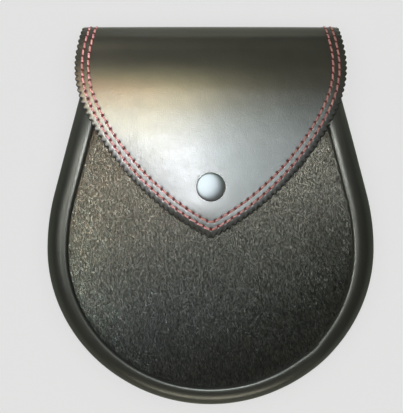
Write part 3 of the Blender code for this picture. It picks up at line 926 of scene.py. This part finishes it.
def flap_ring(inset):
    """Right half of the flat flap's edge moved in by inset: the same arcs about the same centres.

    The tip's arc grows and the tail's corner shrinks by less than inset, so that neither closes up.
    """
    tip_radius = TIP_RADIUS + TIP_GROWTH * inset
    reach = FLAP_SIDE_RADIUS - inset - tip_radius
    meet = math.asin(-SIDE_CENTRE[0] / reach)
    tip_centre = np.array((0.0, SIDE_CENTRE[1] - reach * math.cos(meet)))
    corner = max(TAIL_CORNER_RADIUS - CORNER_SHRINKING * inset, SMALLEST_CORNER)
    inward = left_of(TAIL_ANGLE)
    corner_y = TAIL_END_Y - inset - corner
    across = inset + corner - inward[1] * (corner_y - SHOULDER_END[1])
    corner_centre = np.array((SHOULDER_END[0] + across / inward[0], corner_y))
    count = RING_COUNTS
    tip = turn_points(tip_centre, tip_radius, 0.0, meet, count["tip"])
    side = turn_points(SIDE_CENTRE, FLAP_SIDE_RADIUS - inset, meet, SHOULDER_ANGLE, count["side"])
    radius = SHOULDER_RADIUS - inset
    shoulder = turn_points(SHOULDER_CENTRE, radius, SHOULDER_ANGLE, TAIL_ANGLE, count["shoulder"])
    bend = turn_points(corner_centre, corner, TAIL_ANGLE, math.pi, count["corner"])
    straight = np.linspace(shoulder[-1], bend[0], count["straight"])
    end = np.linspace(bend[-1], (0.0, bend[-1, 1]), count["end"])
    ring = np.vstack((tip, side[1:], shoulder[1:], straight[1:], bend[1:], end[1:]))
    ring[(0, -1), 0] = 0.0
    return ring


EDGE = flap_ring(0.0)


def flap_front_edge():
    """Half width and y of the flap's pointed front, for the hair that it hides."""
    front = EDGE[EDGE[:, 1] < 0.075]
    y = np.interp(front[:, 1], FOLD_ALONG, FOLD_LINE[:, 0])
    return np.append(front[:, 0], 0.09), np.append(y, 0.08)


def fold_places(x, s):
    """Where the outer face of the flat flap goes when it is folded over the pouch.

    The place on the middle line, moved in along its normal by the sink times the square of how far
    out the place is.
    """
    half_width = np.hypot(np.interp(s, EDGE[:, 1], EDGE[:, 0]), SINK_SOFTENING)
    down = np.interp(s, FOLD_ALONG, FOLD_SINK) * (x / half_width) ** 2
    normal = interpolate(s, FOLD_ALONG, FOLD_NORMALS)
    place = interpolate(s, FOLD_ALONG, FOLD_LINE) - down[..., None] * normal
    return np.concatenate((x[..., None], place), axis=-1)


def folded(x, s, height):
    """Folded places raised by height along the face's own normal."""
    step = 0.00015
    across = fold_places(x + step, s) - fold_places(x - step, s)
    onward = fold_places(x, s + step) - fold_places(x, s - step)
    normal = np.cross(across, onward)
    normal /= np.linalg.norm(normal, axis=-1, keepdims=True)
    return fold_places(x, s) + normal * height[..., None]


def row_phase(number):
    """Stitches counted along the right half of a row, from a hole at a whole number."""
    length = distance_along(flap_ring(ROW_INSETS[number]))
    halves = round(length[-1] / STITCH_PITCH)
    return length / length[-1] * halves - 0.5 * number


def flap_relief(inset, x, s, pinking, stitches):
    """Height of the leather's own relief.

    The border rolls down to the cut edge and is nicked at the notches of the pinking, each row of
    stitches pulls the leather in at its holes, and the cap presses a ring into it: all but the
    first, a parabola, are bells.
    """
    height = -EDGE_ROLL_DEPTH * np.clip(1.0 - inset / EDGE_ROLL_WIDTH, 0.0, 1.0) ** 2
    to_notch = from_whole(pinking) * PINKING_PITCH
    height = height - NOTCH_DEPTH * bell(to_notch, NOTCH_WIDTH) * bell(inset, NOTCH_REACH)
    for place, counted in zip(ROW_INSETS, stitches):
        to_hole = from_whole(counted) * STITCH_PITCH
        height = height - HOLE_DEPTH * bell(inset - place, HOLE_WIDTH) * bell(to_hole, HOLE_WIDTH)
    from_stud = np.hypot(x, s - STUD_S)
    return height - CAP_RING_DEPTH * bell(from_stud - CAP_RADIUS, CAP_RING_WIDTH)


def build_flap(finish):
    """The flap: rings that follow its edge, closed over the edge to the same rings below.

    The edge is cut back at the notches of the pinking, by one minus the size of a sine along it,
    which fades out from ring to ring. The face's relief fades out over the cut edge.
    """
    wall = np.linspace(FLAP_ARRIS, FLAP_THICKNESS - FLAP_ARRIS, 5)[1:-1]
    rows = sheet_rows(FLAP_RING_INSETS, FLAP_ARRIS, wall, FLAP_INNER_INSETS, FLAP_THICKNESS)
    around = distance_along(EDGE)
    pinking = around / around[-1] * round(around[-1] / PINKING_PITCH)
    notch = 1.0 - np.abs(np.sin(np.pi * pinking))
    outward = -inward_normals(EDGE)
    outward[-1] = (0.0, 1.0)
    fade = 1.0 - smooth_step(rows[0] / PINKING_FADE)
    rings = np.stack([flap_ring(value) for value in rows[0]])
    rings = rings - outward * (PINKING_DEPTH * notch)[:, None] * fade[:, None, None]
    rings[:, (0, -1), 0] = 0.0
    flat, inset, depth = filled_sheet(rings, *rows, 13, FLAP_SPINE_MARGINS)
    x, s = flat[..., 0], flat[..., 1]
    outer, inner = row_phase(0), row_phase(1)
    relief = flap_relief(inset[:, None], x, s, pinking, (outer, inner))
    on_face = 1.0 - smooth_step(depth / FACE_DEPTH)
    sections = closed_sheet(folded(x, s, relief * on_face[:, None] - depth[:, None]))
    counts = {"Outer": outer, "Inner": inner, "Pinking": pinking}
    values = {key: np.abs(np.append(count, count[-2::-1]))[:, None] for key, count in counts.items()}
    values |= {"Inset": inset[None], "Face": on_face[None]}
    add_surface("flap_leather", sections, finish, ("flap",), values=values)


# ---------------------------------------------------------------- stitches
def bar_section(half_width, half_height):
    """How far aside and up a stitch's corners are: an ellipse, thinner towards the stitch's ends."""
    angle = 2.0 * np.pi * BAR_TURN - 0.5 * np.pi
    return half_width * np.cos(angle) * BAR_THICKNESS, half_height * np.sin(angle) * BAR_THICKNESS


def add_bars(name, places, finish):
    """Many short closed tubes in one piece: places is bar by section by corner.

    A tube's sides are quads between neighbouring sections, and its first and last section close it.
    """
    bars, rows, corners = places.shape[:3]
    at = np.arange(rows * corners).reshape(rows, corners)
    after = np.roll(at, -1, axis=1)
    sides = np.stack((at[:-1], after[:-1], after[1:], at[1:]), axis=-1).reshape(-1, 4)
    first = rows * corners * np.arange(bars)[:, None]
    quads = (sides[None] + first[:, :, None]).reshape(-1, 4)
    faces = [quads, at[0, ::-1] + first, at[-1] + first]
    obj = add_piece(name, places.reshape(-1, 3), faces, finish)
    add_values(obj, "Ply", np.broadcast_to(BAR_PLY, places.shape[:3]).ravel())
    return obj


def build_flap_row(name, number, finish):
    """One row of slanted stitches round the flap: thick bars, each from its hole into the next.

    They are laid out flat along the row, counted from a hole at a whole number, and then folded.
    """
    phase = row_phase(number)
    loop = all_round(flap_ring(ROW_INSETS[number]))
    counted = np.append(phase, 2.0 * phase[-1] - phase[-2::-1])
    length = counted[-1] - counted[0]
    starts = (math.ceil(counted[0]) + np.arange(round(length)))[:, None]
    at = starts + STITCH_GAP + (1.0 - 2.0 * STITCH_GAP) * BAR_ALONG
    at = (at - counted[0]) % length + counted[0]
    slant = STITCH_SLANT * (2.0 * BAR_ALONG - 1.0) + rng.normal(0.0, STITCH_WANDER, starts.shape)
    plump = 1.0 + rng.normal(0.0, STITCH_PLUMPNESS, (len(starts), 1, 1))
    wide, high = (part * plump for part in bar_section(*FLAP_THREAD))
    inward = interpolate(at, counted, turned_left(unit_tangents(loop)))
    centre = interpolate(at, counted, loop) + inward * slant[..., None]
    x, s = (centre[..., axis, None] + inward[..., axis, None] * wide for axis in (0, 1))
    obj = add_bars(name, folded(x, s, BAR_RISE + high), finish)
    rise = (BAR_RISE - BAR_RISE.min()) / np.ptp(BAR_RISE)
    add_values(obj, "Rise", np.broadcast_to(rise, x.shape).ravel())


def lay_stitches(name, line, count, thread, finish):
    """Thick bars along a line on a face that looks down, each from one hole to the next.

    The bar's section is carried along the line and dips into the face at both ends.
    """
    down = np.array((0.0, 0.0, -1.0))
    at = (np.arange(count)[:, None] + BACK_GAP + (1.0 - 2.0 * BACK_GAP) * BAR_ALONG) / count
    length = distance_along(line)
    length = length / length[-1]
    centre = interpolate(at, length, line)[:, :, None]
    aside = interpolate(at, length, np.cross(down, unit_tangents(line)))[:, :, None]
    wide, high = bar_section(*thread)
    places = centre + aside * wide[..., None] + down * (BAR_RISE + high)[..., None]
    add_bars(name, places, finish)


# ---------------------------------------------------------------- back panel and belt loops
def back_ring(inset):
    """Right half of the back panel's edge moved in by inset, then its straight top to the middle."""
    points, normals = body_outline(BACK_TOP_Y, 700)
    side = seam_edge(points, normals) + normals * inset
    side[0, 0] = 0.0
    top = BACK_TOP_Y - inset
    below = side[side[:, 1] < top]
    corner = np.array((np.interp(top, side[:, 1], side[:, 0]), top))
    side = resample(np.vstack((below, corner)), 330)
    return np.vstack((side, np.linspace(corner, (0.0, top), 60)[1:]))


def build_back(finish, thread):
    """The sheet behind: rings that follow its edge, over the edge to the same rings inside.

    A row of stitches lies in a groove along the edge of the outer face, a bell across it, so that
    nothing stands below the surface that the pouch lies on.
    """
    no_wall = np.zeros(0)
    rows = sheet_rows(BACK_RING_INSETS, BACK_ROUNDING, no_wall, BACK_INNER_INSETS, BACK_THICKNESS)
    rings = np.stack([back_ring(value) for value in rows[0]])
    flat, inset, depth = filled_sheet(rings, *rows, 15, BACK_SPINE_MARGINS)
    x, y = flat[..., 0], flat[..., 1]
    groove = BACK_GROOVE_DEPTH * bell(inset - BACK_SEAM_INSET, BACK_GROOVE_WIDTH)
    groove = groove * (depth < 0.5 * BACK_THICKNESS)
    z = back_z(y) + depth[:, None] + groove[:, None]
    sections = closed_sheet(np.stack((x, y, z), axis=-1))
    add_surface("back_leather", sections, finish, ("back_panel",), flip=True)

    row = all_round(back_ring(BACK_SEAM_INSET))
    line = np.column_stack((row, back_z(row[:, 1]) + BACK_SEAM_DEPTH))
    count = round(distance_along(line)[-1] / BACK_SEAM_PITCH)
    lay_stitches("back_stitches", line, count, BACK_THREAD, thread)


def loop_side_view():
    """Middle line of a belt loop in YZ: flat ends, smooth ramps and a flat middle."""
    t = np.linspace(0.0, 1.0, 17)
    ramp = LOOP_TAB_Z * (1.0 - smooth_step(t))
    upper = np.column_stack((LOOP_TOP_Y - LOOP_TAB - LOOP_RAMP * t, ramp))
    lower = np.column_stack((LOOP_BOTTOM_Y + LOOP_TAB + LOOP_RAMP * t, ramp))[::-1]
    path = np.vstack(((LOOP_TOP_Y, LOOP_TAB_Z), upper, lower, (LOOP_BOTTOM_Y, LOOP_TAB_Z)))
    return resample(path + (0.0, LOOP_THICKNESS / 2), 130)


def strip_section(half_width, half_height, rounding):
    """A closed rounded rectangle, from arcs at its corners."""
    corners = ((1, -1), (1, 1), (-1, 1), (-1, -1))
    points = []
    for number, (side, level) in enumerate(corners):
        turn = np.radians(np.linspace(-90.0, 0.0, 5) + 90.0 * number)
        centre = np.array((side * (half_width - rounding), level * (half_height - rounding)))
        points.append(centre + rounding * np.column_stack((np.cos(turn), np.sin(turn))))
    points = np.vstack(points)
    return np.vstack((points, points[:1]))


def build_belt_loop(side, centre_x, finish, thread):
    """A strip with rounded edges, carried along its side view, and a box of stitches at each end.

    The strip's ends are rounded too: sections grow from one line, their places on a quarter circle.
    """
    path = loop_side_view()
    tangent = unit_tangents(path)
    section = strip_section(LOOP_WIDTH / 2, LOOP_THICKNESS / 2, LOOP_ROUNDING)
    end = LOOP_END_SHARES
    thin = np.concatenate((end, np.ones(len(path) - 2 * len(end)), end[::-1]))[:, None]
    round_off = LOOP_ROUNDING * (1.0 - np.sqrt(1.0 - (1.0 - end) ** 2))[:, None]
    path[: len(end)] = path[0] + round_off * tangent[0]
    path[-len(end) :] = path[-1] - round_off[::-1] * tangent[-1]
    x = centre_x + section[:, 0] * thin
    y, z = beside(path, turned_left(tangent), section[:, 1] * thin)
    grid = np.stack((x, y, z), axis=-1)
    name = f"belt_loop_{side}"
    add_surface(f"{name}_strip", grid, finish, (name,), flip=True)
    box = np.array(((-1, -1), (1, -1), (1, 1), (-1, 1), (-1, -1))) * LOOP_BOX
    top, foot = LOOP_TOP_Y - LOOP_BOX_FROM_END, LOOP_BOTTOM_Y + LOOP_BOX_FROM_END
    for place, middle_y in (("top", top), ("foot", foot)):
        row = resample(box + (centre_x, middle_y), 400)
        line = np.column_stack((row, np.full(len(row), LOOP_TAB_Z)))
        lay_stitches(f"{name}_stitches_{place}", line, LOOP_BOX_STITCHES, LOOP_THREAD, thread)


# ---------------------------------------------------------------- press stud
def build_cap(finish):
    """The cap on the flap, turned: a low dome over a rolled edge, and its post below.

    The profile is a quarter ellipse, the rolled edge's points, the underside and the post.
    """
    low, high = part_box("snap_cap")
    rise = np.linspace(0.0, math.pi / 2, 22)
    rolled_in, rolled_down = np.array(CAP_ROLLED_EDGE).T
    edge = high.z - CAP_DOME_HEIGHT
    post = (CAP_POST_RADIUS, CAP_POST_RADIUS, 0.0)
    below = (edge - rolled_down[-1], low.z, low.z)
    radius = np.concatenate((CAP_RADIUS * np.sin(rise), CAP_RADIUS - rolled_in, post))
    height = np.concatenate((edge + CAP_DOME_HEIGHT * np.cos(rise), edge - rolled_down, below))
    turn = np.linspace(0.0, 2.0 * np.pi, 97)[:, None]
    x = radius * np.cos(turn)
    y = STUD_Y + radius * np.sin(turn)
    grid = np.stack((x, y, np.broadcast_to(height, x.shape)), axis=-1)
    add_surface("snap_cap_dome", grid, finish, ("snap_cap",))


# ---------------------------------------------------------------- stage, lights and camera
CAMERA_PLACE = (-0.0047, 0.0057, 0.600)
CAMERA_LENS = 97.64
CAMERA_SENSOR = 36.0
FLOOR_HALF_WIDTH = 4.0
SKY_NEAR = (0.09, 0.085, 0.07)
SKY_FAR = (0.09, 0.12, 0.085)
SKY_OVERHEAD = (0.03, 0.033, 0.036)
SKY_BELOW = (0.21, 0.23, 0.18)
SKY_PAST_FOLD = (0.85, 0.90, 0.75)
BACKDROP = (0.76, 0.76, 0.76)
# what a lamp lights: the pieces whose names start with these
BODY = ("gusset",)
FLAP = ("flap",)
FLAP_FACE = ("flap_leather",)
HIDE = ("hide",)
METAL = ("snap",)
# places and targets that several lamps share
FROM_RIGHT = ((0.05, 0.10, 0.66), (0.145, 0.17, 0.03))
BESIDE_KEY = ((-0.03, 0.10, 0.66), (-0.015, 0.17, 0.03))
FROM_TIP = ((-0.09, -0.03, 0.66), (-0.135, -0.09, 0.03))
LAMPS = (
    # name, what it lights, place, target, size, spread, power, colour
    ("flap_key", FLAP, (-0.165, 0.07, 0.7), (-0.145, 0.1, 0.03), 0.3, 24, 0.33, (0.8, 0.85, 1)),
    ("flap_warm", FLAP, (-0.18, 0.12, 0.64), (-0.09, 0.05, 0.03), 0.16, 60, 0.18, (1, 0.97, 0.62)),
    ("flap_warm_far", FLAP_FACE, (-0.11, 0.25, 0.62), (-0.08, 0.06, 0.03), 0.2, 60, 0.17, (1, 0.94, 0.59)),
    ("flap_left", FLAP_FACE, (-0.2, 0.3, 0.6), (-0.09, 0.06, 0.03), 0.2, 60, 0.07, (1, 0.15, 0)),
    ("flap_top", FLAP_FACE, (-0.12, 0.38, 0.55), (-0.08, 0.065, 0.03), 0.25, 60, 0.09, (1, 1, 0.54)),
    ("flap_tip", FLAP, *FROM_TIP, 0.16, 28, 0.25, (1, 1, 0.9)),
    ("flap_right", FLAP, *FROM_RIGHT, 0.25, 90, 0.41, (0.84, 1, 0.97)),
    ("flap_low_right", FLAP_FACE, (0.16, -0.1, 0.64), (0.07, 0, 0.03), 0.3, 60, 0.25, (0.88, 0.97, 1)),
    ("fold", FLAP_FACE, (0, 1, -0.04), (0, 0.08, 0.02), 0.5, 90, 0.2, (0.96, 1, 0.82)),
    ("hide_right", HIDE, *FROM_RIGHT, 0.25, 90, 0.58, (0.9, 1, 0.9)),
    ("hide_key", HIDE, (-0.14, 0.02, 0.66), (-0.235, 0.01, 0.03), 0.16, 28, 0.87, (0.72, 1, 0.76)),
    ("hide_warm", HIDE, (-0.12, 0.06, 0.66), (-0.195, 0.09, 0.03), 0.16, 28, 0.32, (1, 0.3, 0)),
    ("hide_middle", HIDE, *BESIDE_KEY, 0.16, 28, 0.84, (1, 0.98, 0.82)),
    ("hide_low", HIDE, *FROM_TIP, 0.16, 28, 0.07, (0.8, 0.9, 1)),
    ("rim_key", BODY, *BESIDE_KEY, 0.16, 28, 0.74, (0.97, 1, 0.93)),
    ("rim_right", BODY, *FROM_RIGHT, 0.25, 90, 0.37, (0.97, 1, 0.88)),
    ("rim_left", BODY, (-0.35, 0.1, 0.55), (-0.03, 0, 0.03), 0.25, 90, 0.33, (0.95, 1, 0.85)),
    ("rim_inside_right", BODY, (-0.25, -0.02, 0.3), (0.074, -0.02, 0.028), 0.1, 30, 0.035, (0.95, 1, 0.9)),
    ("rim_inside_foot", BODY, (-0.03, 0.28, 0.45), (0, -0.085, 0.024), 0.1, 24, 0.07, (0.92, 1, 0.97)),
    ("rim_foot", BODY, (0, -1, -0.22), (0, -0.03, 0.03), 1.2, 120, 12, (1, 0.96, 0.74)),
    ("metal_key", METAL, (-0.135, 0.033, 0.66), (-0.225, 0.036, 0.03), 0.18, 28, 0.25, (1, 1, 1)),
    ("metal_fill", METAL, (-0.25, 0.15, 0.5), (0, 0, 0.03), 1.2, 180, 6, (0.88, 0.97, 1)),
    ("below", ("back", "belt", *FLAP), (0, 0, -1), (0, 0, 0), 2.4, 180, 14, (1, 1, 1)),
    ("floor_panel", ("floor",), (0, 0, 2.4), (0, 0, 0), 3, 180, 5, (1, 1, 1)),
    ("floor_fill", ("floor",), (0, 0, 2.4), (0, 0, 0), 3, 180, 66, (1, 1, 1)),
)
# lamps in whose light no piece casts a shadow
NO_SHADOWS = ("floor_fill", "rim_foot", "fold")


def add_camera():
    """Straight above the pouch, as far away as the perspective of its rim says."""
    data = bpy.data.cameras.new("camera")
    data.sensor_width = CAMERA_SENSOR
    data.lens = CAMERA_LENS
    data.clip_start = 0.01
    camera = bpy.data.objects.new("camera", data)
    camera.location = CAMERA_PLACE
    bpy.context.scene.collection.objects.link(camera)
    bpy.context.scene.camera = camera


def add_floor():
    """A pale floor that is clear from below, so that the pouch's back can be looked at."""
    mesh = bpy.data.meshes.new("floor")
    corners = np.array(((-1, -1, 0), (1, -1, 0), (1, 1, 0), (-1, 1, 0))) * FLOOR_HALF_WIDTH
    mesh.from_pydata(corners, [], [(0, 1, 2, 3)])
    finish = Finish("pale_floor", (0.80, 0.80, 0.80), 0.9, specular=0.0)
    behind = finish.add("ShaderNodeNewGeometry", output="Backfacing")
    pale = Socket(finish, finish.shader.outputs[0])
    clear = finish.add("ShaderNodeBsdfTransparent")
    mixed = finish.add("ShaderNodeMixShader", inputs={0: behind, 1: pale, 2: clear})
    finish.link(mixed, finish.tree.nodes["Material Output"], "Surface")
    mesh.materials.append(finish.material)
    floor = bpy.data.objects.new("floor", mesh)
    bpy.context.scene.collection.objects.link(floor)
    floor.visible_glossy = False
    floor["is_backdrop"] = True
    return floor


def add_lamp(name, receivers, place, target, size, spread, power, colour):
    """A soft panel that faces target, spreads its light by so many degrees and lights receivers."""
    data = bpy.data.lights.new(name, "AREA")
    data.shape = "DISK"
    data.size = size
    data.spread = math.radians(spread)
    data.energy = power
    data.color = colour
    lamp = bpy.data.objects.new(name, data)
    lamp.location = place
    lamp.rotation_euler = aim_angles(np.array(target) - np.array(place))
    bpy.context.scene.collection.objects.link(lamp)
    lamp.light_linking.receiver_collection = receivers
    return lamp


def aim_angles(direction):
    """Turns that point an object's -Z along direction."""
    x, y, z = direction / np.linalg.norm(direction)
    return (math.acos(-z), 0.0, math.atan2(-x, y))


def add_sky():
    """The room that the leather reflects, in five soft parts, and a pale backdrop."""
    world = bpy.data.worlds.new("room")
    bpy.context.scene.world = world
    world.use_nodes = True
    world.node_tree.nodes.clear()
    sky = Nodes(world.node_tree)
    way = {0: sky.add("ShaderNodeTexCoord", output="Generated")}
    y, z = (sky.add("ShaderNodeSeparateXYZ", inputs=way, output=axis) for axis in "YZ")
    level = sky.blend(sky.between(y, -0.35, 0.35), SKY_NEAR, SKY_FAR)
    lowest = sky.blend(sky.between(y, 0.45, 0.95), SKY_BELOW, SKY_PAST_FOLD)
    low = sky.blend(sky.between(z, 0.0, -0.25), level, lowest)
    seen = sky.blend(sky.between(z, 0.45, 0.90), low, SKY_OVERHEAD)
    room = sky.add("ShaderNodeBackground", inputs={"Color": seen})
    backdrop = sky.add("ShaderNodeBackground", inputs={"Color": (*BACKDROP, 1.0)})
    from_camera = sky.add("ShaderNodeLightPath", output="Is Camera Ray")
    mixed = sky.add("ShaderNodeMixShader", inputs={0: from_camera, 1: room, 2: backdrop})
    sky.link(mixed, sky.tree.nodes.new("ShaderNodeOutputWorld"), "Surface")


def add_studio(floor):
    """The lamps, each for the pieces whose names start with what it lights."""
    lit = [*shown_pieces(), floor]
    floor_alone = bpy.data.collections.new("casts_no_shadow_on_the_floor")
    floor_alone.objects.link(floor)
    for name, starts, *how in LAMPS:
        receivers = bpy.data.collections.new(f"lit_by_{name}")
        for obj in lit:
            if obj.name.startswith(starts):
                receivers.objects.link(obj)
        lamp = add_lamp(name, receivers, *how)
        if name in NO_SHADOWS:
            lamp.light_linking.blocker_collection = floor_alone


def main():
    """Builds the pieces, the hair before the stitches because they share the random numbers."""
    add_camera()
    nickel = satin_nickel()
    build_gusset(black_leather("rim_leather", 0.38, 0.00003))
    build_hide(hide_skin())
    build_hair(black_hair(), 4, 48000)
    build_flap(flap_leather())
    salmon = salmon_thread()
    build_flap_row("flap_stitches_outer", 0, salmon)
    build_flap_row("flap_stitches_inner", 1, salmon)
    build_cap(nickel)
    back, black = black_leather("back_leather", 0.5, 0.00004), black_thread()
    build_back(back, black)
    build_belt_loop("left", -LOOP_CENTRE_X, back, black)
    build_belt_loop("right", LOOP_CENTRE_X, back, black)
    for node in ("snap_socket", "snap_stud"):
        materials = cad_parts[node].data.materials
        materials.clear()
        materials.append(nickel)
    add_studio(add_floor())
    add_sky()
    bpy.context.scene.view_settings.view_transform = "Standard"


main()
